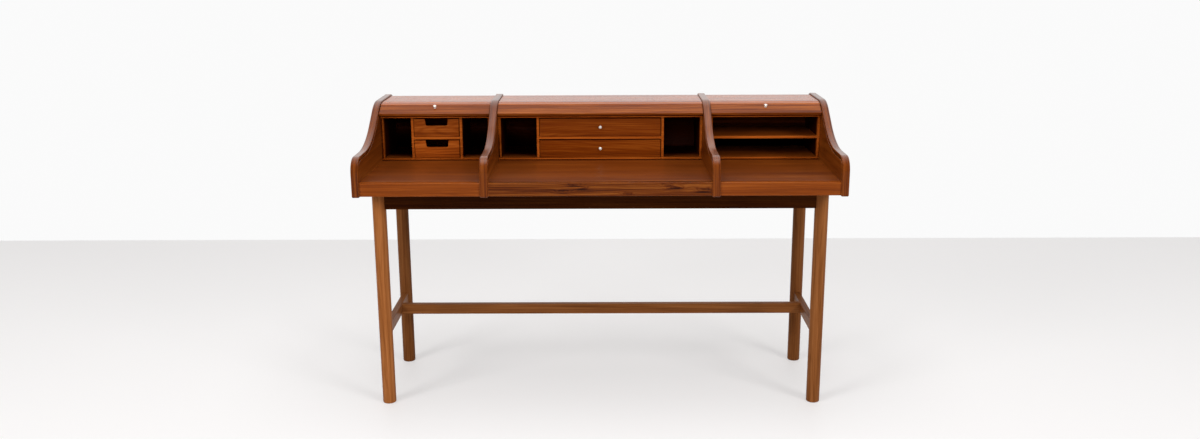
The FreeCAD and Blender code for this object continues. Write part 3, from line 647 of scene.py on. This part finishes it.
# each round stretch of the profile: its radius and the height of its middle
FOOT_ROUND = 0.0004
FOOT_ROUND_AT = 0.0007
LOWER_HOLLOW = 0.0016
LOWER_HOLLOW_AT = 0.0030
UPPER_HOLLOW = 0.0030
UPPER_HOLLOW_AT = 0.0062
HEAD_ROUND = 0.0012
HEAD_ROUND_AT = 0.0103
DOME_ASIDE = 0.0010
DOME_AT = 0.0038
KNOB_AROUND = 64
PALE_BRASS = (0.97, 0.94, 0.86)
# knobs this small stay bright, so their metal mirrors the dim room only in part
KNOB_METALLIC = 0.4
foot_disc = [(0, 0), (FOOT_RADIUS - FOOT_EDGE, 0)]
foot_disc += bend((FOOT_RADIUS - FOOT_ROUND, FOOT_ROUND_AT), FOOT_ROUND, -60, 90, 5)
neck = bend((NECK_RADIUS + LOWER_HOLLOW, LOWER_HOLLOW_AT), LOWER_HOLLOW, 240, 180, 6)
neck += bend((NECK_RADIUS + UPPER_HOLLOW, UPPER_HOLLOW_AT), UPPER_HOLLOW, 180, 118, 6)
head = bend((HEAD_RADIUS - HEAD_ROUND, HEAD_ROUND_AT), HEAD_ROUND, -60, 55, 7)
head += bend((DOME_ASIDE, DOME_AT), KNOB_TALL - DOME_AT, 54, 85, 9)
knob_profile = foot_disc + neck + head + [(0, KNOB_TALL)]
knob_metal = polished_metal("knob_metal", PALE_BRASS, KNOB_METALLIC)
for name in ("drawer_knob_upper", "drawer_knob_lower", "lead_knob_left", "lead_knob_right"):
    middle, out = foot_plane(name)
    standing = Matrix.Translation(middle) @ out.to_track_quat("Z", "Y").to_matrix().to_4x4()
    stand_for(name, "turned", turned(name + "_mesh", knob_profile, KNOB_AROUND, standing), knob_metal)


# ---- Tambour curtains
# Twenty-one narrow slats and a lead bar, glued side by side on canvas. Their grain runs along their length,
# and each is a piece of timber of its own.

SLAT_GAP = 0.0006
SLATS_IN_FRONT = 4
SINGLE_SLATS = (1, 2, 11, 12, 13)
SLAT_EASE = 0.0004
LEAD_EASE = 0.001
LEAD_FOOT_LINE = 0.0035
# how far the timber moves on from one slat to the next: along the grain, up the tree, in rings and in seeds
NEXT_ALONG = 1.731
NEXT_UP = 0.613
NEXT_RING = 0.37
NEXT_SEED = 0.31


def slat_walnut(name, seed, row=None):
    """Where there is a row of slats, as (axis, start, pitch), the timber changes from one to the next."""
    timber = Timber(name, "x")
    if row is not None:
        axis, start, pitch = row
        number = timber.start.math("FLOOR", (timber.axes[axis] - start) / pitch)
        timber.along = timber.along + number * NEXT_ALONG
        timber.up = timber.up + number * NEXT_UP
        timber.ring = timber.ring + number * NEXT_RING
    timber.grow(seed)
    timber.stain(1.65, contrast=0.55)
    return timber.lacquer(polish=0.18, relief=0.005, rubbed=0.48)


for bay, first_seed in zip(BAYS, (40, 50, 60)):
    low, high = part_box(f"tambour_{bay}_slats_front")
    pitch = (high.y - low.y + SLAT_GAP) / SLATS_IN_FRONT
    flat_row = ("y", low.y - SLAT_GAP / 2, pitch)
    drop_row = ("z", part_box(f"tambour_{bay}_slats_rear")[0].z - SLAT_GAP / 2, pitch)
    # each run of slats: how far its seed comes after the curtain's first one, and its row
    rows = {"slats_front": (0, flat_row), "slats_top": (1, flat_row), "slats_rear": (4, drop_row)}
    for run, (after, row) in rows.items():
        material = slat_walnut(f"{bay}_{run}_walnut", first_seed + after, row)
        finish_node(f"tambour_{bay}_{run}", material, SLAT_EASE)
    for number in SINGLE_SLATS:
        material = slat_walnut(f"{bay}_slat_{number}_walnut", first_seed + 5 + number * NEXT_SEED)
        finish_node(f"tambour_{bay}_slat_{number}", material, SLAT_EASE)
    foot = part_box(f"lead_bar_{bay}")[0].z
    timber = Timber(f"lead_bar_{bay}_walnut", "x")
    timber.grow(first_seed + 1)
    timber.stain(1.05, contrast=0.8)
    shadow_line(timber, "z", foot - LINE_BEYOND, foot + LEAD_FOOT_LINE)
    finish_node(f"lead_bar_{bay}", timber.lacquer(), LEAD_EASE)


# ---- The base
# Four turned legs, an apron all round and an H-stretcher, tenoned and glued. The grain runs along each piece.
# Legs and stretchers are paler than the case, and the aprons are painted nearly black with the shade under
# the case.

TAN_WALNUT = [
    (0.00, (0.050, 0.0130, 0.0025)),
    (0.30, (0.140, 0.0420, 0.0095)),
    (0.55, (0.230, 0.0760, 0.0190)),
    (1.00, (0.380, 0.1450, 0.0460)),
]
FOOT_EASE = 0.004
LEG_AROUND = 72
LEG_STEPS = 12
SATIN = 0.36
LEG_FINISH = {"contrast": 0.55, "colours": TAN_WALNUT, "polish": SATIN, "sheen": 0.06}
# painted light and shade in each leg's tone: the front left leg is lightest where the lamps fall most, and
# the rear legs darker
LEG_PAINTED_LIGHT = {"front_left": 1.4, "front_right": 1.02, "rear_left": 0.76, "rear_right": 0.82}
for seed, (corner, tone) in enumerate(LEG_PAINTED_LIGHT.items(), start=80):
    name = f"leg_{corner}"
    low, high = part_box(name)
    radius = (high.x - low.x) / 2
    tall = high.z - low.z
    profile = [(0, 0), (radius - FOOT_EASE, 0)]
    profile += bend((radius - FOOT_EASE, FOOT_EASE), FOOT_EASE, -84, 0, 8)
    profile += [(radius, tall * step / LEG_STEPS) for step in range(1, LEG_STEPS + 1)]
    profile.append((0, tall))
    standing = Matrix.Translation(((low.x + high.x) / 2, (low.y + high.y) / 2, 0))
    material = walnut(name + "_walnut", "z", seed, tone, **LEG_FINISH)
    piece = stand_for(name, "turned", turned(name + "_mesh", profile, LEG_AROUND, standing), material)
    crisp = piece.modifiers.new("crisp_top", "EDGE_SPLIT")
    crisp.split_angle = math.radians(50)

# the aprons' near-black tone is painted shade, for the shade under the overhanging case
PAINTED_SHADE_APRON = {"tone": 0.22, "colours": RED_WALNUT, "sheen": 0.02}
STRETCHER = {"tone": 0.82, "colours": TAN_WALNUT, "sheen": 0.06}
# each rail of the base: the way its grain runs, and its wood
BASE_RAILS = {
    "apron_front": ("x", PAINTED_SHADE_APRON),
    "apron_rear": ("x", PAINTED_SHADE_APRON),
    "side_aprons": ("y", PAINTED_SHADE_APRON),
    "stretcher_long": ("x", STRETCHER),
    "stretcher_left": ("y", STRETCHER),
    "stretcher_right": ("y", STRETCHER),
}
for seed, (name, (grain, wood)) in enumerate(BASE_RAILS.items(), start=90):
    finish_node(name, walnut(name + "_walnut", grain, seed, contrast=0.6, polish=SATIN, **wood))


# ---- Cleats and screws
# Two walnut cleats inside the aprons. They hold the case down on its base, with steel screws that go up into
# the writing boards.

STEEL = (0.55, 0.54, 0.52)
SCREW_EASE = 0.0002
finish_node("cleats", walnut("cleat_walnut", "x", 99, tone=0.5))
finish_node("screws", polished_metal("screw_steel", STEEL, 1.0), SCREW_EASE)


# ---- The room
# A pale plain floor that ends in white, with four soft lamps before the desk and over it. For the polish, the
# room is bright behind the desk and overhead, and dim elsewhere.

WALL_LINE = 1.82
FLOOR_REACH = 9.0
FLOOR_COLOUR = (0.52, 0.508, 0.505, 1)
# how much the floor glows of itself, and how much more it does at its far end
FLOOR_GLOW = 0.40
BACK_GLOW = 0.02
GREEN_SHARE = 0.985
BLUE_SHARE = 0.98
floor_mesh = bpy.data.meshes.new("floor")
corners = [
    (-FLOOR_REACH, -FLOOR_REACH, 0),
    (FLOOR_REACH, -FLOOR_REACH, 0),
    (FLOOR_REACH, WALL_LINE, 0),
    (-FLOOR_REACH, WALL_LINE, 0),
]
floor_mesh.from_pydata(corners, [], [(0, 1, 2, 3)])
floor = bpy.data.objects.new("floor", floor_mesh)
bpy.context.scene.collection.objects.link(floor)
floor_paint = bpy.data.materials.new("floor_paint")
floor_paint.use_nodes = True
paint = floor_paint.node_tree.nodes["Principled BSDF"]
paint.inputs["Base Color"].default_value = FLOOR_COLOUR
paint.inputs["Roughness"].default_value = 0.6
paint.inputs["Emission Strength"].default_value = 1.0
ground = Wire(floor_paint.node_tree)
spot = ground.node("ShaderNodeNewGeometry", output="Position")
back = ground.node("ShaderNodeSeparateXYZ", {"Vector": spot}, "Y").fade(-2.6, WALL_LINE)
seen = ground.node("ShaderNodeLightPath", output="Is Camera Ray")
bright = (seen + seen.beside("Is Glossy Ray")) * (FLOOR_GLOW + back * BACK_GLOW)
glow = ground.node("ShaderNodeCombineColor", {0: bright, 1: bright * GREEN_SHARE, 2: bright * BLUE_SHARE})
glow.feed(paint, "Emission Color")
floor_mesh.materials.append(floor_paint)

AMBIENT = 0.30
DIM_ROOM = 0.10
WHITE_WALL = 0.96
CEILING = 0.4
world = bpy.data.worlds.new("room")
bpy.context.scene.world = world
world.use_nodes = True
sky = world.node_tree.nodes["Background"]
air = Wire(world.node_tree)
direction = air.node("ShaderNodeTexCoord", output="Generated")
backward = air.node("ShaderNodeSeparateXYZ", {"Vector": direction}, "Y")
bright_back = backward.fade(-0.1, 0.5) * (1.0 - DIM_ROOM)
bright_ceiling = backward.beside("Z").fade(0.35, 0.9) * CEILING
seen = air.node("ShaderNodeLightPath", output="Is Camera Ray")
glossy = seen.beside("Is Glossy Ray")
through = seen.beside("Is Transmission Ray")
mirrored = glossy * (DIM_ROOM + bright_back + bright_ceiling)
plain = (1 - seen) * (1 - glossy) * (1 - through)
strength = seen * WHITE_WALL + through + mirrored + plain * AMBIENT
strength.feed(sky, "Strength")
sky.inputs["Color"].default_value = (1, 1, 1, 1)

DESK_MIDDLE = Vector((0, 0, 0.6))
# each square soft lamp: where it is, how wide it is and its power. The polish mirrors only the one on top.
LAMPS = {
    "left_lamp": ((-3.2, -3.0, 2.8), 1.5, 84),
    "right_lamp": ((3.4, -3.4, 2.6), 1.5, 98),
    "top_lamp": ((0.0, -0.6, 4.0), 2.4, 60),
    "front_lamp": ((0.0, -4.6, 1.7), 2.0, 40),
}
for name, (place, across, power) in LAMPS.items():
    lamp = bpy.data.lights.new(name, "AREA")
    lamp.size = across
    lamp.energy = power
    box = bpy.data.objects.new(name, lamp)
    box.location = place
    box.rotation_euler = (DESK_MIDDLE - Vector(place)).to_track_quat("-Z", "Y").to_euler()
    box.visible_glossy = name == "top_lamp"
    bpy.context.scene.collection.objects.link(box)

# the camera: where it is, how it is turned, in radians, and its focal length in a frame of so many pixels
EYE = (0.0123, -3.4239, 1.4111)
YAW = -0.0041
PITCH = 0.2449
ROLL = -0.0040
FOCAL_PIXELS = 1082.32
FRAME_PIXELS = 1200
SENSOR_WIDTH = 36
ahead = Vector((math.sin(YAW) * math.cos(PITCH), math.cos(YAW) * math.cos(PITCH), -math.sin(PITCH)))
right = ahead.cross(Vector((0, 0, 1))).normalized()
upward = right.cross(ahead)
rolled_right = right * math.cos(ROLL) + upward * math.sin(ROLL)
rolled_up = upward * math.cos(ROLL) - right * math.sin(ROLL)
turning = Matrix((rolled_right, rolled_up, -ahead)).transposed().to_4x4()
lens = bpy.data.cameras.new("camera")
lens.sensor_width = SENSOR_WIDTH
lens.lens = SENSOR_WIDTH * (FOCAL_PIXELS / FRAME_PIXELS)
camera = bpy.data.objects.new("camera", lens)
camera.matrix_world = Matrix.Translation(EYE) @ turning
bpy.context.scene.collection.objects.link(camera)
bpy.context.scene.camera = camera
bpy.context.scene.view_settings.view_transform = "Standard"
